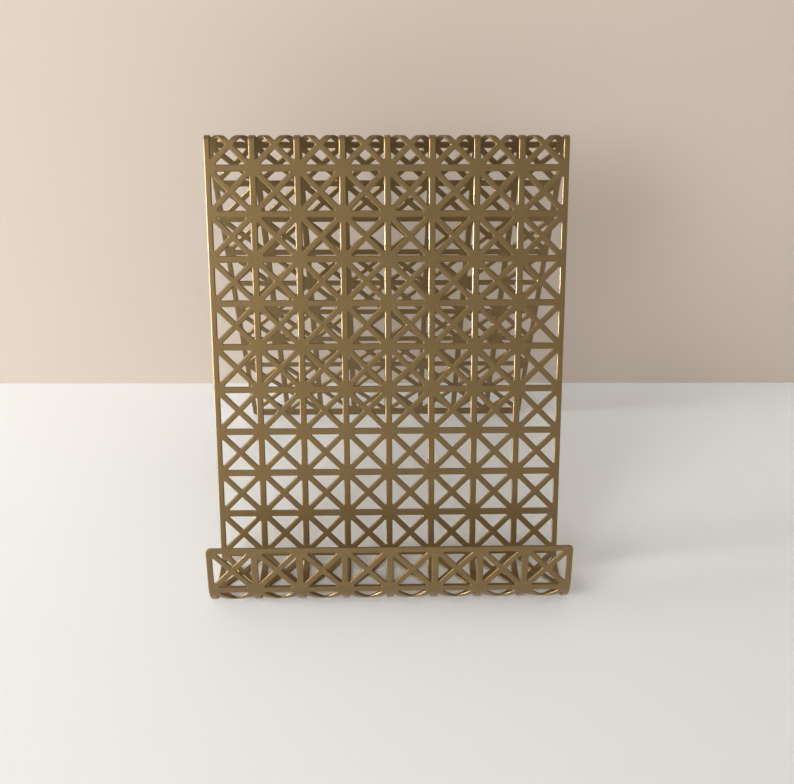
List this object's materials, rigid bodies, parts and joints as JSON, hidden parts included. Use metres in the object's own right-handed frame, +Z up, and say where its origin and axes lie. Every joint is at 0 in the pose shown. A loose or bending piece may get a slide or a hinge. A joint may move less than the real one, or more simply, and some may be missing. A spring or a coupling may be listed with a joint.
{
  "type": "photo album stand",
  "caption": "Desk easel folded from one sheet of pierced gold metal: leaning display panel, tight top fold, rear leg and a rounded ledge with a front lip.",
  "frame": {"origin": "centre of the footprint, on the table", "axes": "+Z up, -Y to the front where the lip is, X across the width; the stand is symmetric about X = 0"},
  "size_m": [0.1786, 0.17, 0.202],
  "materials": {
    "gold_paint": "satin"
  },
  "bodies": {
    "root": {"rear_leg": "gold_paint", "top_fold": "gold_paint", "display_panel": "gold_paint", "heel_bend": "gold_paint", "ledge_floor": "gold_paint", "front_bend": "gold_paint", "front_lip": "gold_paint"}
  },
  "joints": []
}
